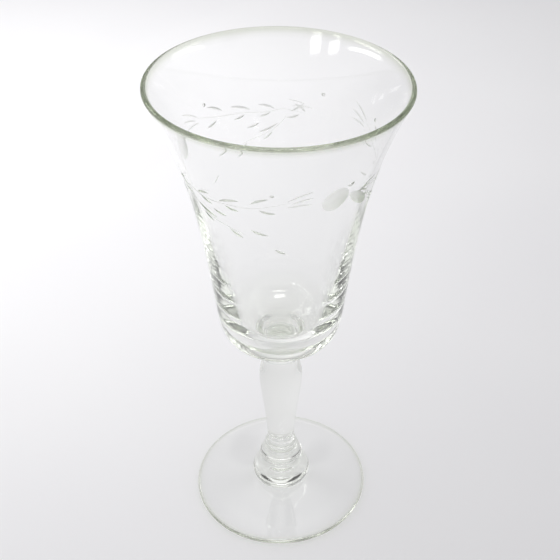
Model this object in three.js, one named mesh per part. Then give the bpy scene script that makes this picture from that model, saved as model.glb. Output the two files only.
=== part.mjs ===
// Stemmed wine glass with a flared bell bowl, an inverted baluster stem and a stepped button on a round foot.
// Millimetres, +Z up. The origin is the centre of the foot's resting plane, and +Z is the axis of every piece.
// Each piece is one gather of glass, turned from a half profile. A profile point is { r, z }, and a lean is the
// angle in radians by which a wall leans out from +Z. A reach is how far a curve follows its end's direction.
import * as THREE from 'three';

// Overall sizes
const HEIGHT = 178;
const RIM_RADIUS = 41.6;
const FOOT_RADIUS = 33.7;

// Planes and radii where one gather meets the next, from the top down
const BOWL_JOINT = { r: 9.2, z: 72.6 };
const STEM_JOINT = { r: 5.4, z: 23.6 };
const COLLAR_JOINT = { r: 5.6, z: 19.3 };
const STEP_JOINT = { r: 7.7, z: 11.6 };
const BUTTON_JOINT = { r: 10.0, z: 5.3 };

// Bowl: a lip rounded in the fire, a wall that thickens downwards, and a cavity with a round floor
const LIP = { radius: 0.85, lean: 0.446 };
const OUTER_KNEE = { r: 22.4, z: 91.8, lean: 0.114, upReach: 30.8, downReach: 11.0 };
const OUTER_LIP_REACH = 29.8;
const BASE = { r: 12.3, z: 77.7 };
const BASE_SIDE = { r: 18.2, z: 79.4 };
const BASE_FILLET = { r: 10.5, z: 77.1 };
const INNER_KNEE = { r: 18.7, z: 96.1, lean: 0.204, upReach: 34.0, downReach: 9.3 };
const INNER_LIP_REACH = 26.2;
const FLOOR = { z: 80.4, reach: 12.0 };

// The flare where the stem spreads into the bowl: how much it widens for its height at the joint
const FLARE_SLOPE = 0.45;
const FLARE_REACH = { above: 1.5, below: 1.0 };

// Stem: a short neck, a shoulder and a long taper
const NECK = { r: 6.5, z: 68.0, upReach: 2.2, downReach: 3.6 };
const SHOULDER = { r: 8.0, z: 58.5, upReach: 5.0, downReach: 7.5 };
const TAPER = { r: 5.0, z: 25.5 };
const TAPER_MIDDLE = { r: 5.9, z: 42.0 };
const TAPER_END_LOW = { r: 5.15, z: 23.9 };
const TAPER_END_HIGH = { r: 4.96, z: 24.7 };

// Collar, step and button: each has a waist at its lower joint, a bulge, and a crown that curves in to its top
const COLLAR = { r: 6.85, reach: 0.3 };
const STEP = { r: 8.3, z: 16.7, lowReach: 3.1, crownReach: 1.6, crownDrop: 0.4 };
const STEP_WAIST = { r: 0.3, z: 0.9 };
const BUTTON = { r: 11.2, z: 8.6, lowReach: 1.6, highReach: 1.9, crownReach: 1.6 };
const BUTTON_WAIST = { r: 0.7, z: 0.5 };

// Foot: a rounded edge, a slightly domed top, and an underside hollowed inside a flat resting ring
const FOOT_EDGE = 1.25;
const REST_OUTER = 32.2;
const REST_INNER = 25.5;
const KICK = { height: 1.3, reach: 12, restReach: 8 };
const DOME = { r: 24, rise: 0.3, crownReach: 4.2, crownDrop: 0.8 };

// Facets around the axis
const WIDE_FACETS = 56;
const NARROW_FACETS = 40;

const point = (r, z) => new THREE.Vector2(r, z);
const at = (place) => point(place.r, place.z);

// The point that lies a reach away from another, up the wall that leans by an angle.
function upWall(from, lean, reach) {
  return point(from.x + Math.sin(lean) * reach, from.y + Math.cos(lean) * reach);
}

// Points of a cubic curve. Its first point is left out, because the stretch before it ends there.
function curve(a, b, c, d, steps) {
  return new THREE.CubicBezierCurve(a, b, c, d).getPoints(steps).slice(1);
}

// Points of a circular arc in the profile plane, its first point left out.
function arc(centre, radius, from, to, steps) {
  const points = [];
  for (let i = 1; i <= steps; i += 1) {
    const angle = from + ((to - from) * i) / steps;
    points.push(point(centre.x + radius * Math.cos(angle), centre.y + radius * Math.sin(angle)));
  }
  return points;
}

// The point of the flare's tangent line that lies above the bowl's joint by a height.
function flareAt(height) {
  return point(BOWL_JOINT.r + FLARE_SLOPE * height, BOWL_JOINT.z + height);
}

function clearGlass(colour) {
  return new THREE.MeshStandardMaterial({
    color: colour,
    roughness: 0.03,
    metalness: 0,
    transparent: true,
    opacity: 0.35,
  });
}

// Turns a profile that starts and ends on the axis into a closed body about +Z.
function turned(name, profile, facets, material) {
  const geometry = new THREE.LatheGeometry(profile, facets);
  geometry.rotateX(Math.PI / 2);
  const mesh = new THREE.Mesh(geometry, material);
  mesh.name = name;
  return mesh;
}

function bowl() {
  const lip = point(RIM_RADIUS - LIP.radius, HEIGHT - LIP.radius);
  const [outerLip] = arc(lip, LIP.radius, 0, -LIP.lean, 1);
  const [innerLip] = arc(lip, LIP.radius, 0, Math.PI - LIP.lean, 1);
  const outerKnee = at(OUTER_KNEE);
  const innerKnee = at(INNER_KNEE);
  const joint = at(BOWL_JOINT);
  const base = at(BASE);
  const outerDown = upWall(outerKnee, OUTER_KNEE.lean, -OUTER_KNEE.downReach);
  const outerUp = upWall(outerKnee, OUTER_KNEE.lean, OUTER_KNEE.upReach);
  const innerUp = upWall(innerKnee, INNER_KNEE.lean, INNER_KNEE.upReach);
  const innerDown = upWall(innerKnee, INNER_KNEE.lean, -INNER_KNEE.downReach);
  const outerFlare = upWall(outerLip, LIP.lean, -OUTER_LIP_REACH);
  const innerFlare = upWall(innerLip, LIP.lean, -INNER_LIP_REACH);
  const profile = [
    point(0, joint.y),
    joint,
    ...curve(joint, flareAt(FLARE_REACH.above), at(BASE_FILLET), base, 5),
    ...curve(base, at(BASE_SIDE), outerDown, outerKnee, 7),
    ...curve(outerKnee, outerUp, outerFlare, outerLip, 9),
    ...arc(lip, LIP.radius, -LIP.lean, Math.PI - LIP.lean, 5),
    ...curve(innerLip, innerFlare, innerUp, innerKnee, 9),
    ...curve(innerKnee, innerDown, point(FLOOR.reach, FLOOR.z), point(0, FLOOR.z), 8),
  ];
  return turned('bowl', profile, WIDE_FACETS, clearGlass(0xf2faf5));
}

function stem() {
  const top = at(BOWL_JOINT);
  const neck = at(NECK);
  const shoulder = at(SHOULDER);
  const taper = at(TAPER);
  const joint = at(STEM_JOINT);
  const shoulderDown = point(shoulder.x, shoulder.y - SHOULDER.downReach);
  const shoulderUp = point(shoulder.x, shoulder.y + SHOULDER.upReach);
  const profile = [
    point(0, joint.y),
    joint,
    ...curve(joint, at(TAPER_END_LOW), at(TAPER_END_HIGH), taper, 2),
    ...curve(taper, at(TAPER_MIDDLE), shoulderDown, shoulder, 6),
    ...curve(shoulder, shoulderUp, point(neck.x, neck.y - NECK.downReach), neck, 5),
    ...curve(neck, point(neck.x, neck.y + NECK.upReach), flareAt(-FLARE_REACH.below), top, 4),
    point(0, top.y),
  ];
  return turned('stem', profile, NARROW_FACETS, clearGlass(0xeff7f2));
}

function stemCollar() {
  const top = at(STEM_JOINT);
  const bottom = at(COLLAR_JOINT);
  const low = point(COLLAR.r, bottom.y + COLLAR.reach);
  const high = point(COLLAR.r, top.y - COLLAR.reach);
  const profile = [
    point(0, bottom.y),
    bottom,
    ...curve(bottom, low, high, top, 6),
    point(0, top.y),
  ];
  return turned('stem_collar', profile, NARROW_FACETS, clearGlass(0xeff7f2));
}

function stemStep() {
  const top = at(COLLAR_JOINT);
  const bottom = at(STEP_JOINT);
  const side = at(STEP);
  const waist = point(bottom.x + STEP_WAIST.r, bottom.y + STEP_WAIST.z);
  const low = point(side.x, side.y - STEP.lowReach);
  const high = point(side.x, top.y - STEP.crownDrop);
  const crown = point(side.x - STEP.crownReach, top.y);
  const profile = [
    point(0, bottom.y),
    bottom,
    ...curve(bottom, waist, low, side, 3),
    ...curve(side, high, crown, top, 4),
    point(0, top.y),
  ];
  return turned('stem_step', profile, NARROW_FACETS, clearGlass(0xeff7f2));
}

function buttonKnop() {
  const top = at(STEP_JOINT);
  const bottom = at(BUTTON_JOINT);
  const bulge = at(BUTTON);
  const waist = point(bottom.x + BUTTON_WAIST.r, bottom.y + BUTTON_WAIST.z);
  const low = point(bulge.x, bulge.y - BUTTON.lowReach);
  const high = point(bulge.x, bulge.y + BUTTON.highReach);
  const crown = point(top.x + BUTTON.crownReach, top.y);
  const profile = [
    point(0, bottom.y),
    bottom,
    ...curve(bottom, waist, low, bulge, 3),
    ...curve(bulge, high, crown, top, 4),
    point(0, top.y),
  ];
  return turned('button_knop', profile, NARROW_FACETS, clearGlass(0xeff7f2));
}

function foot() {
  const joint = at(BUTTON_JOINT);
  const edge = point(FOOT_RADIUS - FOOT_EDGE, FOOT_EDGE);
  const edgeTop = point(edge.x, edge.y + FOOT_EDGE);
  const dome = point(DOME.r, edgeTop.y + DOME.rise);
  const crown = point(joint.x + DOME.crownReach, joint.y - DOME.crownDrop);
  const kick = point(0, KICK.height);
  const restInner = point(REST_INNER, 0);
  const profile = [
    kick,
    ...curve(kick, point(KICK.reach, kick.y), point(restInner.x - KICK.restReach, 0), restInner, 5),
    point(REST_OUTER, 0),
    ...arc(edge, FOOT_EDGE, -Math.PI / 2, Math.PI / 2, 6),
    ...curve(edgeTop, dome, crown, joint, 5),
    point(0, joint.y),
  ];
  return turned('foot', profile, WIDE_FACETS, clearGlass(0xeff7f2));
}

const wineGlass = new THREE.Group();
wineGlass.name = 'wine_glass';
wineGlass.add(foot(), buttonKnop(), stemStep(), stemCollar(), stem(), bowl());

export default wineGlass;
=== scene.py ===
"""Looks of the stemmed wine glass: clear glass pieces turned around +Z, and a bowl with wheel-cut sprays.

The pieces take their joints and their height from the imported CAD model. Lengths are millimetres until a
mesh is made, and angles around the axis are degrees from the front (-Y), growing towards the right (+X).
"""

import math
import random

import bpy
import numpy as np
from mathutils import Matrix, Vector


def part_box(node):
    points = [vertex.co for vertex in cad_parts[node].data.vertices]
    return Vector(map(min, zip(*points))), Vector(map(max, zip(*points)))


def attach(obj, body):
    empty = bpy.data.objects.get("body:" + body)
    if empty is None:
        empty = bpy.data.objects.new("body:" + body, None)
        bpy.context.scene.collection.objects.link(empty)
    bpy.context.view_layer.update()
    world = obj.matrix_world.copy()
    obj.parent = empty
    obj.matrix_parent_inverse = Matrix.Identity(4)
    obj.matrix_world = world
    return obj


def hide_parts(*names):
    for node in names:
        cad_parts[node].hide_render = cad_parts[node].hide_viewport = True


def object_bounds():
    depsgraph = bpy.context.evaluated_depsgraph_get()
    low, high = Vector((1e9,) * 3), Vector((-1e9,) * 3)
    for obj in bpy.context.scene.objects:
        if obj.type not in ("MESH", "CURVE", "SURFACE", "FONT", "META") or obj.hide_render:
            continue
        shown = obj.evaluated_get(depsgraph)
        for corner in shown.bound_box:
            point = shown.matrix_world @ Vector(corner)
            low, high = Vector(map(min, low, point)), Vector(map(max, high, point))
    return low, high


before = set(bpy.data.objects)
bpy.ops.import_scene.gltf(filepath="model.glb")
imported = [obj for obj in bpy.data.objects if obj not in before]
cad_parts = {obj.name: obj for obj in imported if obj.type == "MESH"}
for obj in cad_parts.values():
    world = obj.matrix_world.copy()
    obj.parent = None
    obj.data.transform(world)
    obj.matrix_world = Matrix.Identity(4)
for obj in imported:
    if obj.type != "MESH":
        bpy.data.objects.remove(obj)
cad_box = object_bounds()

MM = 0.001
HEIGHT = cad_box[1].z
TURNS = 240  # facets around the axis, the same on every piece so that the joints match
SAME_LEVEL = 2e-5  # metres: CAD points this close in height belong to one ring
ON_AXIS = 1e-9  # millimetres


# ---------------------------------------------------------------- sizes read from the CAD pieces

def ring_radius(node, z):
    """The largest radius that a CAD piece has at a height, in millimetres."""
    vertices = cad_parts[node].data.vertices
    points = [v.co for v in vertices if abs(v.co.z - z * MM) < SAME_LEVEL]
    return max(math.hypot(p.x, p.y) for p in points) / MM


def joint_low(node):
    """The (radius, height) of a piece's lower joint, in millimetres."""
    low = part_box(node)[0].z / MM
    return ring_radius(node, low), low


def joint_high(node):
    """The (radius, height) of a piece's upper joint, in millimetres."""
    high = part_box(node)[1].z / MM
    return ring_radius(node, high), high


# ---------------------------------------------------------------- profile curves

def cubic(a, b, c, d, steps):
    """Points of a cubic curve without its first point."""
    made = []
    for i in range(1, steps + 1):
        t = i / steps
        s = 1 - t
        weights = (s * s * s, 3 * s * s * t, 3 * s * t * t, t * t * t)
        made.append(tuple(sum(w * p[k] for w, p in zip(weights, (a, b, c, d))) for k in (0, 1)))
    return made


def arc(centre, radius, start, end, steps):
    """Points of a circular arc without its first point."""
    made = []
    for i in range(1, steps + 1):
        angle = start + (end - start) * i / steps
        made.append((centre[0] + radius * math.cos(angle), centre[1] + radius * math.sin(angle)))
    return made


def up_wall(point, lean, reach):
    """The point that lies a reach further up a wall that leans out by an angle."""
    return (point[0] + math.sin(lean) * reach, point[1] + math.cos(lean) * reach)


def line(a, b, steps):
    """Points of a straight line without its first point."""
    made = []
    for i in range(1, steps + 1):
        made.append((a[0] + (b[0] - a[0]) * i / steps, a[1] + (b[1] - a[1]) * i / steps))
    return made


# Bowl: a lean is an angle from upright in radians, and a reach is the length of a curve's handle
RIM_RADIUS = 41.6
LIP = {"radius": 0.85, "lean": 0.446}
LIP_CENTRE = (RIM_RADIUS - LIP["radius"], HEIGHT / MM - LIP["radius"])
OUTER_KNEE = {"at": (22.4, 91.8), "lean": 0.114, "up": 30.8, "down": 11.0}
INNER_KNEE = {"at": (18.7, 96.1), "lean": 0.204, "up": 34.0, "down": 9.3}
OUTER_LIP_REACH = 29.8
INNER_LIP_REACH = 26.2
BASE = (12.3, 77.7)
BASE_SIDE = (18.2, 79.4)
BASE_FILLET = (10.5, 77.1)
FLOOR = {"z": 80.4, "reach": 12.0}
FLARE_SLOPE = 0.45  # how much the flare between stem and bowl widens for its height
FLARE_REACH = {"bowl": 1.5, "stem": 1.0}

# Stem, from the bottom up: where the taper starts, the shoulder and the neck
TAPER = {"at": (5.0, 25.5), "low_reach": (5.15, 23.9), "high_reach": (4.96, 24.7), "up": (5.9, 42.0)}
SHOULDER = {"at": (8.0, 58.5), "down": 7.5, "up": 5.0}
NECK = {"at": (6.5, 68.0), "down": 3.6, "up": 2.2}

# The stacked rings: the widest point of each, and the reaches of its side
COLLAR = {"r": 6.85, "reach": 0.3}
STEP = {"at": (8.3, 16.7), "foot_reach": (0.3, 0.9), "side_reach": 2.0, "up": 0.4, "crown": 1.6}
BUTTON = {"at": (11.2, 8.6), "foot_reach": (0.7, 0.5), "down": 1.6, "up": 1.9, "crown": 1.6}

# Foot: the hollow underneath, the flat ring that it rests on, the rounded edge and the low dome
FOOT_RADIUS = 33.7
FOOT_EDGE = 1.25
KICK = {"height": 1.3, "reach": 12, "rest_reach": 8}
REST = {"inner": 25.5, "outer": 32.2}
DOME = {"r": 24, "rise": 0.3, "crown_reach": 4.2, "crown_drop": 0.8}


def flare_end(joint, reach):
    """A handle of the flare between stem and bowl: above the joint, or below it for a negative reach."""
    return (joint[0] + FLARE_SLOPE * reach, joint[1] + reach)


def bowl_outer_wall(steps):
    """The outer wall from the knee up to the lip."""
    top = arc(LIP_CENTRE, LIP["radius"], 0, -LIP["lean"], 1)[0]
    knee = OUTER_KNEE["at"]
    rise = up_wall(knee, OUTER_KNEE["lean"], OUTER_KNEE["up"])
    return cubic(knee, rise, up_wall(top, LIP["lean"], -OUTER_LIP_REACH), top, steps)


def bowl_profile():
    joint = joint_low("bowl")
    inner_lip = arc(LIP_CENTRE, LIP["radius"], 0, math.pi - LIP["lean"], 1)[0]
    outer, inner = OUTER_KNEE, INNER_KNEE
    outer_down = up_wall(outer["at"], outer["lean"], -outer["down"])
    inner_down = up_wall(inner["at"], inner["lean"], -inner["down"])
    inner_up = up_wall(inner["at"], inner["lean"], inner["up"])
    return [
        joint,
        *cubic(joint, flare_end(joint, FLARE_REACH["bowl"]), BASE_FILLET, BASE, 10),
        *cubic(BASE, BASE_SIDE, outer_down, outer["at"], 24),
        *bowl_outer_wall(64),
        *arc(LIP_CENTRE, LIP["radius"], -LIP["lean"], math.pi - LIP["lean"], 16),
        *cubic(inner_lip, up_wall(inner_lip, LIP["lean"], -INNER_LIP_REACH), inner_up, inner["at"], 52),
        *cubic(inner["at"], inner_down, (FLOOR["reach"], FLOOR["z"]), (0, FLOOR["z"]), 32),
    ]


def stem_profile():
    joint, top = joint_low("stem"), joint_high("stem")
    taper, shoulder, neck = TAPER["at"], SHOULDER["at"], NECK["at"]
    shoulder_low = (shoulder[0], shoulder[1] - SHOULDER["down"])
    shoulder_high = (shoulder[0], shoulder[1] + SHOULDER["up"])
    neck_low = (neck[0], neck[1] - NECK["down"])
    neck_high = (neck[0], neck[1] + NECK["up"])
    return [
        joint,
        *cubic(joint, TAPER["low_reach"], TAPER["high_reach"], taper, 4),
        *cubic(taper, TAPER["up"], shoulder_low, shoulder, 20),
        *cubic(shoulder, shoulder_high, neck_low, neck, 14),
        *cubic(neck, neck_high, flare_end(top, -FLARE_REACH["stem"]), top, 10),
    ]


def collar_profile():
    bottom, top = joint_low("stem_collar"), joint_high("stem_collar")
    low, high = (COLLAR["r"], bottom[1] + COLLAR["reach"]), (COLLAR["r"], top[1] - COLLAR["reach"])
    return [bottom, *cubic(bottom, low, high, top, 16)]


def step_profile():
    bottom, top = joint_low("stem_step"), joint_high("stem_step")
    side = STEP["at"]
    foot = (bottom[0] + STEP["foot_reach"][0], bottom[1] + STEP["foot_reach"][1])
    return [
        bottom,
        *cubic(bottom, foot, (side[0], bottom[1] + STEP["side_reach"]), side, 9),
        *cubic(side, (side[0], top[1] - STEP["up"]), (side[0] - STEP["crown"], top[1]), top, 12),
    ]


def button_profile():
    bottom, top = joint_low("button_knop"), joint_high("button_knop")
    bulge = BUTTON["at"]
    foot = (bottom[0] + BUTTON["foot_reach"][0], bottom[1] + BUTTON["foot_reach"][1])
    bulge_low = (bulge[0], bulge[1] - BUTTON["down"])
    bulge_high = (bulge[0], bulge[1] + BUTTON["up"])
    return [
        bottom,
        *cubic(bottom, foot, bulge_low, bulge, 9),
        *cubic(bulge, bulge_high, (top[0] + BUTTON["crown"], top[1]), top, 12),
    ]


def foot_profile():
    joint = joint_high("foot")
    kick = (0, KICK["height"])
    rest_inner, rest_outer = (REST["inner"], 0), (REST["outer"], 0)
    edge = (FOOT_RADIUS - FOOT_EDGE, FOOT_EDGE)
    edge_top = (edge[0], edge[1] + FOOT_EDGE)
    dome = (DOME["r"], edge_top[1] + DOME["rise"])
    crown = (joint[0] + DOME["crown_reach"], joint[1] - DOME["crown_drop"])
    return [
        kick,
        *cubic(kick, (KICK["reach"], kick[1]), (rest_inner[0] - KICK["rest_reach"], 0), rest_inner, 14),
        *line(rest_inner, rest_outer, 3),
        *arc(edge, FOOT_EDGE, -math.pi / 2, math.pi / 2, 14),
        *cubic(edge_top, dome, crown, joint, 18),
    ]


# ---------------------------------------------------------------- turned meshes

GLASS_SLOT, WELD_SLOT, CUT_SLOT = 0, 1, 2
ROUNDED_BELOW = math.radians(28)  # cut faces that meet at less than this are shaded as one curve


def turned(name, profile, ripple=None):
    """A closed body turned about +Z. A profile that ends off the axis is closed there by a flat weld face."""
    rings, faces, slots, points = [], [], [], []
    turn = 2 * math.pi / TURNS
    for r, z in profile:
        if r < ON_AXIS:
            rings.append([len(points)])
            points.append((0.0, 0.0, z * MM))
            continue
        rings.append(list(range(len(points), len(points) + TURNS)))
        for k in range(TURNS):
            radius = r + (ripple(r, z, k * turn) if ripple else 0.0)
            points.append((radius * MM * math.cos(k * turn), radius * MM * math.sin(k * turn), z * MM))
    for low, high in zip(rings, rings[1:]):
        for k in range(TURNS):
            n = (k + 1) % TURNS
            if len(low) == 1:
                faces.append((low[0], high[n], high[k]))
            elif len(high) == 1:
                faces.append((low[k], low[n], high[0]))
            else:
                faces.append((low[k], low[n], high[n], high[k]))
            slots.append(GLASS_SLOT)
    caps = []
    if len(rings[0]) > 1:
        caps.append(tuple(reversed(rings[0])))
    if len(rings[-1]) > 1:
        caps.append(tuple(rings[-1]))
    mesh = bpy.data.meshes.new(name)
    mesh.from_pydata(points, [], faces + caps)
    mesh.polygons.foreach_set("material_index", slots + [WELD_SLOT] * len(caps))
    mesh.polygons.foreach_set("use_smooth", [True] * len(faces) + [False] * len(caps))
    mesh.update()
    piece = bpy.data.objects.new(name, mesh)
    bpy.context.scene.collection.objects.link(piece)
    return piece


def profile_normals(profile):
    """The outward normal at each profile point, as (radial, up)."""
    line_points = np.array(profile)
    steps = np.gradient(line_points, axis=0)
    normals = np.stack([steps[:, 1], -steps[:, 0]], axis=1)
    return normals / np.linalg.norm(normals, axis=1)[:, None]


def nearest_on_profile(profile, radii, levels):
    """For each (radius, height), the profile segment that is nearest and how far along it."""
    line_points = np.array(profile)
    start, step = line_points[:-1], np.diff(line_points, axis=0)
    best = np.full(len(radii), np.inf)
    segment = np.zeros(len(radii), int)
    along = np.zeros(len(radii))
    for i, (step_r, step_z) in enumerate(step):
        off_r, off_z = radii - start[i, 0], levels - start[i, 1]
        t = np.clip((off_r * step_r + off_z * step_z) / (step[i] @ step[i]), 0, 1)
        gap = (off_r - t * step_r) ** 2 + (off_z - t * step_z) ** 2
        closer = gap < best
        best[closer], segment[closer], along[closer] = gap[closer], i, t[closer]
    return segment, along


def smooth_normals(piece, profile, ripple_tilt=None):
    """Gives the turned faces the normals of the true curve, so that cuts and facets don't dent the glass."""
    mesh = piece.data
    points = np.empty(len(mesh.vertices) * 3)
    mesh.vertices.foreach_get("co", points)
    points = points.reshape(-1, 3) / MM
    radii = np.hypot(points[:, 0], points[:, 1])
    segment, along = nearest_on_profile(profile, radii, points[:, 2])
    curve_normals = profile_normals(profile)
    both = curve_normals[segment] * (1 - along)[:, None] + curve_normals[segment + 1] * along[:, None]
    turn = np.arctan2(points[:, 1], points[:, 0])
    radial = np.stack([np.cos(turn), np.sin(turn), np.zeros(len(turn))], axis=1)
    across = np.stack([-np.sin(turn), np.cos(turn), np.zeros(len(turn))], axis=1)
    wall = radial * both[:, :1] + np.array([0, 0, 1.0]) * both[:, 1:]
    if ripple_tilt:
        wall -= across * (both[:, 0] * ripple_tilt(radii, points[:, 2], turn))[:, None]
    wall /= np.linalg.norm(wall, axis=1)[:, None]

    count = len(mesh.polygons)
    face_normals = np.empty(count * 3)
    mesh.polygons.foreach_get("normal", face_normals)
    face_normals = face_normals.reshape(-1, 3)
    areas, slots, sizes = np.empty(count), np.empty(count, int), np.empty(count, int)
    mesh.polygons.foreach_get("area", areas)
    mesh.polygons.foreach_get("material_index", slots)
    mesh.polygons.foreach_get("loop_total", sizes)
    corners = np.empty(len(mesh.loops), int)
    mesh.loops.foreach_get("vertex_index", corners)
    face_of = np.repeat(np.arange(count), sizes)

    cut = slots[face_of] == CUT_SLOT
    cut_sum = np.zeros((len(points), 3))
    np.add.at(cut_sum, corners[cut], face_normals[face_of[cut]] * areas[face_of[cut]][:, None])
    cut_sum /= np.maximum(np.linalg.norm(cut_sum, axis=1), 1e-20)[:, None]
    made = wall[corners]
    flat = face_normals[face_of]
    rounded = cut & ((cut_sum[corners] * flat).sum(axis=1) > math.cos(ROUNDED_BELOW))
    made[cut] = flat[cut]
    made[rounded] = cut_sum[corners][rounded]
    caps = slots[face_of] == WELD_SLOT
    made[caps] = flat[caps]
    mesh.normals_split_custom_set(made.tolist())


# ---------------------------------------------------------------- materials

GLASS_IOR = 1.52
# Tints on the way in, from where the wall is thin (stored depth 0) to where it is thickest (stored depth 1).
# The thick end is partly the green of thick glass and partly painted shade.
THIN_GLASS = (0.998, 1.0, 0.998, 1)
THICK_GLASS_AND_SHADE = (0.80, 0.82, 0.75, 1)
PASSES_PER_CM = (0.980, 0.983, 0.976, 1)  # what a centimetre of the glass lets through
CM_PER_M = 100.0
GROUND_DARK, GROUND_LIGHT = (0.79, 0.805, 0.755, 1), (0.91, 0.92, 0.885, 1)
GROUND_ROUGHNESS = {"To Min": 0.28, "To Max": 0.42}
# How much lamplight a ground cut lets through, seen straight on and along its face
GROUND_FACING, GROUND_EDGE = (0.85, 0.86, 0.85, 1), (0.6, 0.6, 0.6, 1)
GRIT_DEPTH = 0.02
WHITE = (1.0, 1.0, 1.0, 1)


class Shader:
    """A material's node tree, with short calls for making and linking nodes."""

    def __init__(self, name):
        self.material = bpy.data.materials.new(name)
        self.material.use_nodes = True
        self.tree = self.material.node_tree
        self.principled = self.tree.nodes["Principled BSDF"]
        self.output = self.tree.nodes["Material Output"]

    def node(self, kind, values=None, **settings):
        made = self.tree.nodes.new(kind)
        for key, value in settings.items():
            setattr(made, key, value)
        for key, value in (values or {}).items():
            made.inputs[key].default_value = value
        return made

    def link(self, source, target):
        self.tree.links.new(source, target)

    def set(self, **values):
        for key, value in values.items():
            self.principled.inputs[key.replace("_", " ")].default_value = value

    def mix(self, a=WHITE, b=WHITE):
        """A colour mix: its factor is input 0, its colours are inputs 6 and 7, and its result is output 2."""
        return self.node("ShaderNodeMix", {6: a, 7: b}, data_type="RGBA")

    def let_lamps_through(self, glass, facing, edge):
        """Lamps reach what is behind the glass, weaker through its edges."""
        weight = self.node("ShaderNodeLayerWeight", {"Blend": 0.5})
        colours = self.mix(facing, edge)
        clear = self.node("ShaderNodeBsdfTransparent")
        path = self.node("ShaderNodeLightPath")
        either = self.node("ShaderNodeMixShader")
        self.link(weight.outputs["Facing"], colours.inputs[0])
        self.link(colours.outputs[2], clear.inputs["Color"])
        self.link(path.outputs["Is Shadow Ray"], either.inputs[0])
        self.link(glass.outputs[0], either.inputs[1])
        self.link(clear.outputs[0], either.inputs[2])
        self.link(either.outputs[0], self.output.inputs["Surface"])


def clear_glass(name, waviness, lamp_edge):
    """Soda glass, with a waviness in millimetres and a share of lamplight that passes its edges.

    Light that runs inside it turns green-grey with the way that it goes, and light that enters it takes the
    tint stored at that point: partly the green of thick glass, partly painted shade on the rim, base, stem
    and foot edge.
    """
    shader = Shader(name)
    glass = shader.node("ShaderNodeBsdfGlass", {"Roughness": 0.0, "IOR": GLASS_IOR})
    depth = shader.node("ShaderNodeAttribute", attribute_name="glass_depth_and_shade")
    # The thick end of this entering tint is partly the green of thick glass and partly painted shade.
    entering = shader.mix(THIN_GLASS, THICK_GLASS_AND_SHADE)
    path = shader.node("ShaderNodeLightPath")
    centimetres = shader.node("ShaderNodeMath", {1: CM_PER_M}, operation="MULTIPLY")
    passed = shader.node("ShaderNodeGamma", {"Color": PASSES_PER_CM})
    side = shader.node("ShaderNodeNewGeometry")
    colour = shader.mix()
    shader.link(depth.outputs["Fac"], entering.inputs[0])
    shader.link(path.outputs["Ray Length"], centimetres.inputs[0])
    shader.link(centimetres.outputs[0], passed.inputs["Gamma"])
    shader.link(side.outputs["Backfacing"], colour.inputs[0])
    shader.link(entering.outputs[2], colour.inputs[6])
    shader.link(passed.outputs[0], colour.inputs[7])
    shader.link(colour.outputs[2], glass.inputs["Color"])
    place = shader.node("ShaderNodeTexCoord")
    waves = shader.node("ShaderNodeTexNoise", {"Scale": 95.0, "Detail": 1.5, "Roughness": 0.45})
    bump = shader.node("ShaderNodeBump", {"Strength": 1.0, "Distance": waviness * MM})
    shader.link(place.outputs["Object"], waves.inputs["Vector"])
    shader.link(waves.outputs["Fac"], bump.inputs["Height"])
    shader.link(bump.outputs["Normal"], glass.inputs["Normal"])
    shader.let_lamps_through(glass, WHITE, (lamp_edge, lamp_edge, lamp_edge, 1))
    return shader.material


def wheel_cut():
    """The grey, matt ground face that a cutting wheel leaves, with its fine grit."""
    shader = Shader("wheel_cut_glass")
    shader.set(IOR=GLASS_IOR, Transmission_Weight=1.0)
    place = shader.node("ShaderNodeTexCoord")
    grit = shader.node("ShaderNodeTexNoise", {"Scale": 5200.0, "Detail": 2.0})
    patches = shader.node("ShaderNodeTexNoise", {"Scale": 420.0, "Detail": 1.0})
    tone = shader.mix(GROUND_DARK, GROUND_LIGHT)
    rough = shader.node("ShaderNodeMapRange", GROUND_ROUGHNESS)
    bump = shader.node("ShaderNodeBump", {"Strength": 0.5, "Distance": GRIT_DEPTH * MM})
    shader.link(place.outputs["Object"], grit.inputs["Vector"])
    shader.link(place.outputs["Object"], patches.inputs["Vector"])
    shader.link(patches.outputs["Fac"], tone.inputs[0])
    shader.link(patches.outputs["Fac"], rough.inputs["Value"])
    shader.link(tone.outputs[2], shader.principled.inputs["Base Color"])
    shader.link(rough.outputs["Result"], shader.principled.inputs["Roughness"])
    shader.link(grit.outputs["Fac"], bump.inputs["Height"])
    shader.link(bump.outputs["Normal"], shader.principled.inputs["Normal"])
    shader.let_lamps_through(shader.principled, GROUND_FACING, GROUND_EDGE)
    return shader.material


def weld_face():
    """The plane where two gathers of glass are melted together, which can't be seen."""
    shader = Shader("weld_face")
    shader.set(Alpha=0.0)
    return shader.material


BLOWN = clear_glass("blown_bowl_glass", waviness=0.0015, lamp_edge=0.79)
PRESSED = clear_glass("pressed_stem_glass", waviness=0.05, lamp_edge=0.94)
CUT = wheel_cut()
WELD = weld_face()


# ---------------------------------------------------------------- wheel-cut sprays

WALL = np.array([OUTER_KNEE["at"], *bowl_outer_wall(160)])
WALL_NORMALS = profile_normals([tuple(p) for p in WALL])
CUT_CLEARANCE = 0.25  # how far a cutter stands proud of the wall
CUTTER_GAP = 0.4  # cutters of one set stay this far apart
MEAN_RADIUS = 35.0  # of the band of sprays, for unrolling it


def wall_radius(z):
    return float(np.interp(z, WALL[:, 1], WALL[:, 0]))


def on_wall(theta, z, lift):
    """A point above the outer wall by a lift, or in it where the lift is negative."""
    turn = math.radians(theta)
    out = float(np.interp(z, WALL[:, 1], WALL_NORMALS[:, 0]))
    up = float(np.interp(z, WALL[:, 1], WALL_NORMALS[:, 1]))
    radius = wall_radius(z) + out * lift
    return (radius * math.sin(turn) * MM, -radius * math.cos(turn) * MM, (z + up * lift) * MM)


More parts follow.
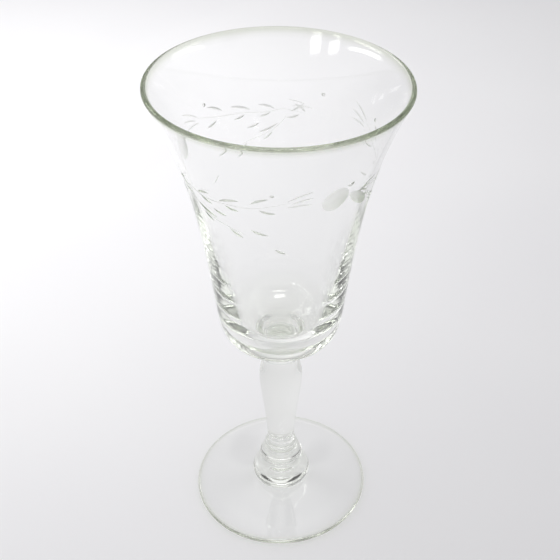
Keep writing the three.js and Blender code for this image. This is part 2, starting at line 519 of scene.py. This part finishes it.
def smooth_path(places, count):
    """Points of a smooth curve through a few (theta, z) places, with a direction at each."""
    places = np.array(places, float)
    if len(places) == 2:
        weights = np.linspace(0, 1, count)[:, None]
        return places[0] * (1 - weights) + places[1] * weights
    slopes = np.gradient(places, axis=0)
    made = []
    for t in np.linspace(0, len(places) - 1, count):
        i = min(int(t), len(places) - 2)
        s = t - i
        made.append(
            places[i] * (2 * s**3 - 3 * s**2 + 1)
            + slopes[i] * (s**3 - 2 * s**2 + s)
            + places[i + 1] * (3 * s**2 - 2 * s**3)
            + slopes[i + 1] * (s**3 - s**2)
        )
    return np.array(made)


def groove(places, half_width, depth, ends, bend=0.0):
    """The body that a V wheel sweeps: deepest in the middle, and lifting out of the wall at both ends."""
    overrun = 1.12  # the wheel leaves the wall this far past each end
    count = max(9, 5 * len(places))
    path = smooth_path(places, count)
    middle = path[count // 2]
    scale = np.array([math.radians(1) * wall_radius(middle[1]), 1.0])
    flat = path * scale
    length = np.linalg.norm(np.diff(flat, axis=0), axis=1).sum()
    direction = np.gradient(flat, axis=0)
    direction /= np.linalg.norm(direction, axis=1)[:, None]
    side = np.stack([-direction[:, 1], direction[:, 0]], axis=1)
    u = np.linspace(-overrun, overrun, count)
    flat = flat + side * (bend * (1 - u**2))[:, None] * length
    keel = -depth * (1 - np.abs(u) ** ends)
    half = (CUT_CLEARANCE - keel) * half_width / depth
    points = []
    for centre, across, low, wide in zip(flat, side, keel, half):
        left, right = (centre - across * wide) / scale, (centre + across * wide) / scale
        points += [on_wall(*left, CUT_CLEARANCE), on_wall(*right, CUT_CLEARANCE)]
        points.append(on_wall(*(centre / scale), low))
    faces = [(0, 1, 2)]
    for i in range(count - 1):
        a = 3 * i
        for j, k in ((0, 1), (1, 2), (2, 0)):
            faces.append((a + j, a + 3 + j, a + 3 + k, a + k))
    last = 3 * (count - 1)
    faces.append((last, last + 2, last + 1))
    return points, faces


def punty(theta, z, half_length, half_width, tilt, depth):
    """The shallow oval that a round-edged wheel grinds."""
    rings, spokes = 6, 36
    reach = math.sqrt(1 + CUT_CLEARANCE / depth)
    per_degree = math.radians(1) * wall_radius(z)
    lean = math.radians(tilt)
    points = [on_wall(theta, z, -depth)]
    for ring in range(1, rings + 1):
        share = reach * ring / rings
        for k in range(spokes):
            turn = 2 * math.pi * k / spokes
            along = half_length * share * math.cos(turn)
            across = half_width * share * math.sin(turn)
            right = along * math.cos(lean) - across * math.sin(lean)
            up = along * math.sin(lean) + across * math.cos(lean)
            low = -depth * (1 - share**2)
            points.append(on_wall(theta + right / per_degree, z + up, low))
    points.append(on_wall(theta, z, CUT_CLEARANCE))
    faces = []
    for k in range(spokes):
        n = (k + 1) % spokes
        faces.append((0, 1 + n, 1 + k))
        for ring in range(rings - 1):
            a, b = 1 + ring * spokes, 1 + (ring + 1) * spokes
            faces.append((a + k, a + n, b + n, b + k))
        edge = 1 + (rings - 1) * spokes
        faces.append((edge + k, edge + n, len(points) - 1))
    return points, faces


# Wheel marks: ends says how suddenly a groove ends, and bend how far it bows for its length
LEAF = {"half_width": 0.48, "depth": 0.28, "ends": 2.4}
LEAF_BEND = 0.05
TWIG = {"half_width": 0.13, "depth": 0.05, "ends": 6.0}
FROND = {"half_width": 0.32, "depth": 0.16, "ends": 2.6}
FROND_BEND = 0.035
DOT = {"half_length": 0.7, "half_width": 0.55, "tilt": 0, "depth": 0.25}
OVAL_DEPTH = 0.32
HAND_SPREAD, TWIG_SPREAD = 0.35, 0.15  # how far a hand misses its place, in degrees
HAND_RISE = 0.6  # the share of that which it misses in height, in millimetres
HAND_SEED = 12
# How far round each spray is, how firmly it was cut, and whether it ends in a flower
SPRAYS = [(0, 1.0, True), (115, 0.72, False), (233, 0.72, True)]

# One spray, as (theta, z) places: a branch that rises to a fan and an oval, and a side branch that droops
BRANCH = [
    (-72, 150.2), (-54, 152.0), (-42.5, 151.0), (-28, 151.7), (-14, 152.3), (-3, 153.8), (11, 156.3),
]
SIDE_BRANCH = [(-57, 151.4), (-51, 146.8), (-40, 143.5), (-28.5, 142.0), (-15, 139.6)]
LEAVES = [
    ((-68.0, 151.4), (-59.5, 154.0)),
    ((-67.0, 154.4), (-56.5, 150.9)),
    ((-51.0, 147.2), (-35.5, 144.2)),
    ((-48.5, 152.0), (-37.3, 153.6)),
    ((-33.4, 151.9), (-18.7, 154.6)),
    ((-14.5, 154.0), (-3.0, 156.9)),
    ((-64.0, 150.6), (-54.5, 149.0)),
    ((-46.0, 150.9), (-37.0, 149.6)),
    ((-29.2, 151.1), (-20.4, 150.0)),
    ((-9.6, 151.8), (0.3, 150.7)),
    ((-38.4, 147.8), (-28.5, 146.4)),
    ((-28.8, 141.7), (-19.6, 138.6)),
    ((-47.0, 144.6), (-39.5, 141.6)),
    ((-15.6, 143.2), (-4.0, 141.3)),
    ((-1.9, 135.6), (6.2, 133.2)),
]
FAN = [((4.4, 155.3), (19.5, 159.7)), ((6.6, 154.5), (20.5, 156.9)), ((4.0, 153.5), (19.8, 154.2))]
FAR_FAN = [((45.0, 152.8), (60.5, 152.9)), ((50.0, 153.8), (63.0, 155.2))]
DOTS = [(-2.2, 158.2), (40.8, 158.3)]
FLOWER_PLACE, FLOWER = (32.2, 153.5), {"half_length": 4.7, "half_width": 4.2, "tilt": 36}
BUD_PLACE, BUD = (50.5, 149.8), {"half_length": 6.4, "half_width": 1.9, "tilt": -39}


def spray_cutters(turn, firmness, flowering, chance):
    """All the cutters of one spray, each place moved a little, as a hand at the wheel would."""
    def near(place, spread=HAND_SPREAD):
        theta = place[0] + turn + chance.uniform(-spread, spread)
        return theta, place[1] + chance.uniform(-spread, spread) * HAND_RISE

    def wheel(cut):
        return {**cut, "half_width": cut["half_width"] * firmness, "depth": cut["depth"] * firmness}

    made = [
        groove([near(p, TWIG_SPREAD) for p in BRANCH], **TWIG),
        groove([near(p, TWIG_SPREAD) for p in SIDE_BRANCH], **TWIG),
    ]
    for root, tip in LEAVES:
        bend = LEAF_BEND if tip[1] > root[1] else -LEAF_BEND
        made.append(groove([near(root), near(tip)], **wheel(LEAF), bend=bend))
    for root, tip in FAN + FAR_FAN:
        made.append(groove([near(root), near(tip)], **wheel(FROND), bend=FROND_BEND))
    for place in DOTS:
        made.append(punty(*near(place), **DOT))
    for place, oval in ((FLOWER_PLACE, FLOWER), (BUD_PLACE, BUD)) if flowering else ():
        made.append(punty(*near(place), **oval, depth=OVAL_DEPTH))
    return made


def apart(one, other):
    """True if two cutters' boxes, on the unrolled wall, don't meet."""
    for k in (0, 1):
        if one[0][k] > other[1][k] + CUTTER_GAP or other[0][k] > one[1][k] + CUTTER_GAP:
            return True
    return False


def cutter_sets(cutters):
    """Sorts the cutters into sets whose members don't touch, so that no set crosses itself."""
    sets = []
    for points, faces in cutters:
        place = np.array(points) / MM
        turn = np.unwrap(np.arctan2(place[:, 0], -place[:, 1]))
        flat = np.stack([turn * MEAN_RADIUS, place[:, 2]], axis=1)
        box = flat.min(axis=0), flat.max(axis=0)
        home = next((s for s in sets if all(apart(box, b) for b, _ in s)), None)
        if home is None:
            home = []
            sets.append(home)
        home.append((box, (points, faces)))
    return [[body for _, body in s] for s in sets]


def cut_with(piece, bodies, index):
    """Takes a set of cutters out of a piece. The cut faces keep the ground-glass material."""
    points, faces = [], []
    for body_points, body_faces in bodies:
        first = len(points)
        points += body_points
        faces += [tuple(first + v for v in face) for face in body_faces]
    mesh = bpy.data.meshes.new(f"cutters_{index}")
    mesh.from_pydata(points, [], faces)
    mesh.materials.append(CUT)
    tool = bpy.data.objects.new(mesh.name, mesh)
    bpy.context.scene.collection.objects.link(tool)
    cut = piece.modifiers.new("cut", "BOOLEAN")
    cut.operation = "DIFFERENCE"
    cut.solver = "MANIFOLD"
    cut.material_mode = "TRANSFER"
    cut.object = tool
    result = piece.evaluated_get(bpy.context.evaluated_depsgraph_get())
    carved = bpy.data.meshes.new_from_object(result)
    piece.modifiers.clear()
    old, piece.data = piece.data, carved
    carved.name = piece.name
    bpy.data.meshes.remove(old)
    bpy.data.objects.remove(tool)
    bpy.data.meshes.remove(mesh)


# ---------------------------------------------------------------- the pieces

# The faint upright waves that the mould leaves on the bowl's inner wall
OPTIC_PANELS = 20
OPTIC_DEPTH = 0.012
OPTIC_START, OPTIC_END = 92.0, 174.0
OPTIC_FADE_IN, OPTIC_FADE_OUT = 25.0, 18.0
HALF_WALL = 0.8

# Where the glass counts as thick for the tint on the way in, darkened there with painted shade: the lip, the
# bowl's base and a piece's outer edge
RIM_SHADE_TINT = {"reach": 2.0, "fade": 1.1}
BASE_SHADE_TINT = {"most": 0.4, "top": 94.0, "fade": 12.0}
EDGE_SHADE_TINT = {"reach": 1.6, "fade": 1.2}


def fade(value, length):
    """Rises from 0 to 1 while the value goes from 0 to a length."""
    return np.clip(value / length, 0, 1)


def optic_share(z):
    """The share of the optic waves' depth at a height: none at the ends, all of it between them."""
    share = fade(z - OPTIC_START, OPTIC_FADE_IN) * fade(OPTIC_END - z, OPTIC_FADE_OUT)
    return share * share * (3 - 2 * share)


def is_inner(r, z):
    """True inside the wall's middle, between the cavity's floor and the lip."""
    middle = np.interp(z, WALL[:, 1], WALL[:, 0]) - HALF_WALL
    return (r < middle) & (z > OPTIC_START)


def optic_ripple(r, z, turn):
    """How far out the ripple moves a point of the wall."""
    depth = float(is_inner(r, z)) * OPTIC_DEPTH * float(optic_share(z))
    return depth * math.cos(OPTIC_PANELS * turn)


def optic_tilt(r, z, turn):
    """How fast the ripple moves the wall out, for each millimetre around it."""
    swing = -OPTIC_DEPTH * OPTIC_PANELS * np.sin(OPTIC_PANELS * turn) / np.maximum(r, 1)
    return is_inner(r, z) * optic_share(z) * swing


def write_depth_and_shade(piece, values):
    """Stores how thick the glass counts as at each vertex, from 0 to 1, for the material to read; the thick
    end of its tint is partly painted shade.
    """
    layer = piece.data.attributes.new("glass_depth_and_shade", "FLOAT", "POINT")
    layer.data.foreach_set("value", np.asarray(values, dtype=np.float32))


def vertex_places(piece):
    """The radius and the height of each vertex."""
    points = np.empty(len(piece.data.vertices) * 3)
    piece.data.vertices.foreach_get("co", points)
    points = points.reshape(-1, 3) / MM
    return np.hypot(points[:, 0], points[:, 1]), points[:, 2]


def declare(piece, node):
    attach(piece, "root")
    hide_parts(node)


def glass_piece(node, profile, depth, edge_depth_and_shade=0.0):
    """A turned piece of one depth, plus an edge depth at its outermost edge, for the tint on the way in,
    which is partly painted shade.
    """
    piece = turned(node + "_glass", profile)
    piece.data.materials.append(PRESSED)
    piece.data.materials.append(WELD)
    smooth_normals(piece, profile)
    r, _ = vertex_places(piece)
    write_depth_and_shade(piece, depth + edge_depth_and_shade * fade(r - r.max() + EDGE_SHADE_TINT["reach"], EDGE_SHADE_TINT["fade"]))
    declare(piece, node)
    return piece


def make_bowl():
    profile = bowl_profile()
    piece = turned("bowl_glass", profile, optic_ripple)
    piece.data.materials.append(BLOWN)
    piece.data.materials.append(WELD)
    chance = random.Random(HAND_SEED)
    cutters = []
    for turn, firmness, flowering in SPRAYS:
        cutters += spray_cutters(turn, firmness, flowering, chance)
    for index, bodies in enumerate(cutter_sets(cutters)):
        cut_with(piece, bodies, index)
    smooth_normals(piece, profile, optic_tilt)
    # The lip and the base take the thick tint: partly the green of thick glass, partly painted shade on the
    # rim and the base.
    r, z = vertex_places(piece)
    from_lip = np.hypot(r - LIP_CENTRE[0], z - LIP_CENTRE[1])
    rim = fade(RIM_SHADE_TINT["reach"] - from_lip, RIM_SHADE_TINT["fade"])
    base = BASE_SHADE_TINT["most"] * fade(BASE_SHADE_TINT["top"] - z, BASE_SHADE_TINT["fade"])
    write_depth_and_shade(piece, np.maximum(rim, base))
    declare(piece, "bowl")
    return piece


# ---------------------------------------------------------------- camera, floor and light

CAMERA_PLACE = (0.0529, -1.5330, 1.7439)  # in glass heights
CAMERA_TURN = {"down": 0.6504, "yaw": -0.0336, "roll": 0.0373}  # radians
LENS, SENSOR = 63.25, 36  # millimetres
SHIFT = -0.096
FLOOR_HALF = 4.0  # metres
FLOOR_DROP = 0.0002  # metres: the floor lies this far under the foot, so that the two don't touch
PAPER_DARK, PAPER_LIGHT = (0.86, 0.855, 0.87, 1), (0.90, 0.897, 0.903, 1)


def make_camera():
    """The camera looks down at the glass from in front."""
    data = bpy.data.cameras.new("camera")
    camera = bpy.data.objects.new("camera", data)
    bpy.context.scene.collection.objects.link(camera)
    data.sensor_width = SENSOR
    data.lens = LENS
    data.shift_x = SHIFT
    data.clip_start = 0.01
    place = Vector(CAMERA_PLACE) * HEIGHT
    turn = (
        Matrix.Rotation(CAMERA_TURN["yaw"], 4, "Z")
        @ Matrix.Rotation(math.pi / 2 - CAMERA_TURN["down"], 4, "X")
        @ Matrix.Rotation(CAMERA_TURN["roll"], 4, "Z")
    )
    camera.matrix_world = Matrix.Translation(place) @ turn
    bpy.context.scene.camera = camera


def make_floor():
    mesh = bpy.data.meshes.new("floor")
    corners = [(x * FLOOR_HALF, y * FLOOR_HALF, 0) for x, y in ((-1, -1), (1, -1), (1, 1), (-1, 1))]
    mesh.from_pydata(corners, [], [(0, 1, 2, 3)])
    floor = bpy.data.objects.new("floor", mesh)
    floor.location.z = -FLOOR_DROP
    bpy.context.scene.collection.objects.link(floor)
    shader = Shader("floor_paper")
    shader.set(Roughness=0.9, Specular_IOR_Level=0.1)
    place = shader.node("ShaderNodeTexCoord")
    clouds = shader.node("ShaderNodeTexNoise", {"Scale": 9.0, "Detail": 1.0})
    tone = shader.mix(PAPER_DARK, PAPER_LIGHT)
    shader.link(place.outputs["Object"], clouds.inputs["Vector"])
    shader.link(clouds.outputs["Fac"], tone.inputs[0])
    shader.link(tone.outputs[2], shader.principled.inputs["Base Color"])
    mesh.materials.append(shader.material)


LAMP_SIZE = 0.5  # metres
LAMPS = {"key_lamp": ((-0.28, 0.26, 0.3), 1.0), "back_lamp": ((0.06, 0.38, 0.3), 0.22)}  # place and watts


def make_lamp(name, place, energy):
    """A soft overhead lamp, which only lights the floor: the room shows in the glass instead."""
    data = bpy.data.lights.new(name, "AREA")
    data.shape = "SQUARE"
    data.size = LAMP_SIZE
    data.energy = energy
    light = bpy.data.objects.new(name, data)
    bpy.context.scene.collection.objects.link(light)
    light.location = place
    light.visible_camera = False
    light.visible_glossy = False
    light.visible_transmission = False


# The room as the glass sees it: cards take away a share of the room's light, and windows add light. Each area
# is (azimuth, elevation), (half width, half height), softness of its edges, roll, and the share or the light.
# All angles are degrees, and azimuth runs from the front towards the right.
CARDS = [
    ((0, 39), (44, 8), 0.45, 0, 0.94),
    ((147, 26), (20, 15), 0.15, 0, 0.93),
    ((213, 26), (20, 15), 0.15, 0, 0.93),
]
WINDOWS = [
    ((6, 66), (13, 6), 0.2, 0, 8.0),
    ((91, 14), (15, 0.5), 0.4, -15, 2.6),
    ((-82, 14.8), (15, 0.45), 0.4, 14, 7.0),
    ((-49.8, 20.2), (3.7, 1.7), 0.5, 0, 7.0),
    ((-32, 22.3), (3.7, 2.4), 0.5, 0, 7.0),
    ((-126, 24), (8, 9), 0.3, 0, 4.0),
    ((180, 66), (30, 9), 0.7, 0, 1.3),
]
# The plain room, by the upward part of a direction: its light goes from low to high between two levels
ROOM_LOW, ROOM_HIGH = 1.03, 0.22
ROOM_LEVELS = (0.61, 0.80)
HORIZON = 0.6  # the share of the room's light that is left where it meets the floor
HORIZON_LEVELS = (0.0, 0.2)
PATCH_AHEAD = (0.0, 0.02)  # an area shows only on its own side of the room: it appears between these cosines
LEAST_AHEAD = 0.01
FLOOR_LIGHT = (0.625, 0.623, 0.632, 1)  # the room as the floor receives it, with no cards or windows
BACKDROP = (0.9, 0.9, 0.92, 1)
UP = (0, 0, 1)


def make_world():
    """The plain backdrop for the camera, an even light for the floor, and the room for the glass."""
    world = bpy.data.worlds.new("studio")
    bpy.context.scene.world = world
    world.use_nodes = True
    world.cycles.sampling_method = "NONE"
    tree = world.node_tree
    background = tree.nodes["Background"]

    def math_node(operation, a, b=None):
        made = tree.nodes.new("ShaderNodeMath")
        made.operation = operation
        for slot, value in enumerate((a, b)):
            if value is None:
                continue
            if isinstance(value, (int, float)):
                made.inputs[slot].default_value = value
            else:
                tree.links.new(value, made.inputs[slot])
        return made.outputs[0]

    direction = tree.nodes.new("ShaderNodeTexCoord").outputs["Generated"]

    def towards(axis):
        made = tree.nodes.new("ShaderNodeVectorMath")
        made.operation = "DOT_PRODUCT"
        made.inputs[1].default_value = axis
        tree.links.new(direction, made.inputs[0])
        return made.outputs["Value"]

    def ramp(value, start, end, low, high):
        made = tree.nodes.new("ShaderNodeMapRange")
        made.interpolation_type = "SMOOTHSTEP"
        for slot, number in zip((1, 2, 3, 4), (start, end, low, high)):
            made.inputs[slot].default_value = number
        tree.links.new(value, made.inputs[0])
        return made.outputs[0]

    def patch(place, size, soft, roll):
        """1 inside a rectangle of the sky, 0 outside it."""
        side, rise = (math.radians(angle) for angle in place)
        centre = (math.sin(side) * math.cos(rise), -math.cos(side) * math.cos(rise), math.sin(rise))
        right = (math.cos(side), math.sin(side), 0.0)
        up = (-math.sin(side) * math.sin(rise), math.cos(side) * math.sin(rise), math.cos(rise))
        turn = Matrix.Rotation(math.radians(roll), 3, centre)
        right, up = turn @ Vector(right), turn @ Vector(up)
        ahead = towards(centre)
        inside = ramp(ahead, *PATCH_AHEAD, 0.0, 1.0)
        ahead = math_node("MAXIMUM", ahead, LEAST_AHEAD)
        for axis, half in zip((right, up), size):
            edge = math.tan(math.radians(half))
            off = math_node("ABSOLUTE", math_node("DIVIDE", towards(axis), ahead))
            inside = math_node("MULTIPLY", inside, ramp(off, edge * (1 - soft), edge * (1 + soft), 1.0, 0.0))
        return inside

    level = ramp(towards(UP), *ROOM_LEVELS, ROOM_LOW, ROOM_HIGH)
    room = math_node("MULTIPLY", level, ramp(towards(UP), *HORIZON_LEVELS, HORIZON, 1.0))
    for *area, dark in CARDS:
        left = math_node("SUBTRACT", 1.0, math_node("MULTIPLY", patch(*area), dark))
        room = math_node("MULTIPLY", room, left)
    for *area, light in WINDOWS:
        room = math_node("ADD", room, math_node("MULTIPLY", patch(*area), light))

    def choose(factor, a, b):
        made = tree.nodes.new("ShaderNodeMix")
        made.data_type = "RGBA"
        tree.links.new(factor, made.inputs[0])
        for slot, value in ((6, a), (7, b)):
            if isinstance(value, tuple):
                made.inputs[slot].default_value = value
            else:
                tree.links.new(value, made.inputs[slot])
        return made.outputs[2]

    path = tree.nodes.new("ShaderNodeLightPath")
    after_floor = math_node("GREATER_THAN", path.outputs["Diffuse Depth"], 0.5)
    seen = choose(path.outputs["Is Camera Ray"], room, BACKDROP)
    tree.links.new(choose(after_floor, seen, FLOOR_LIGHT), background.inputs["Color"])


def set_light_paths():
    """Light runs round inside a glass wall many times before it comes out at the rim, and it must reach the
    floor under the foot through glass that stays clear.
    """
    cycles = bpy.context.scene.cycles
    cycles.max_bounces = 128
    cycles.glossy_bounces = 128
    cycles.transmission_bounces = 64
    cycles.diffuse_bounces = 4
    cycles.transparent_max_bounces = 48
    cycles.blur_glossy = 0.0


make_camera()
make_floor()
make_world()
for lamp, (lamp_place, watts) in LAMPS.items():
    make_lamp(lamp, lamp_place, watts)
set_light_paths()
bpy.context.scene.view_settings.view_transform = "Standard"

make_bowl()
# The depths tint the stem, its rings and the foot's edge: partly the green of thick glass, partly painted
# shade.
glass_piece("stem", stem_profile(), depth=0.17)
glass_piece("stem_collar", collar_profile(), depth=0.2)
glass_piece("stem_step", step_profile(), depth=0.2)
glass_piece("button_knop", button_profile(), depth=0.2)
glass_piece("foot", foot_profile(), depth=0.0, edge_depth_and_shade=0.7)
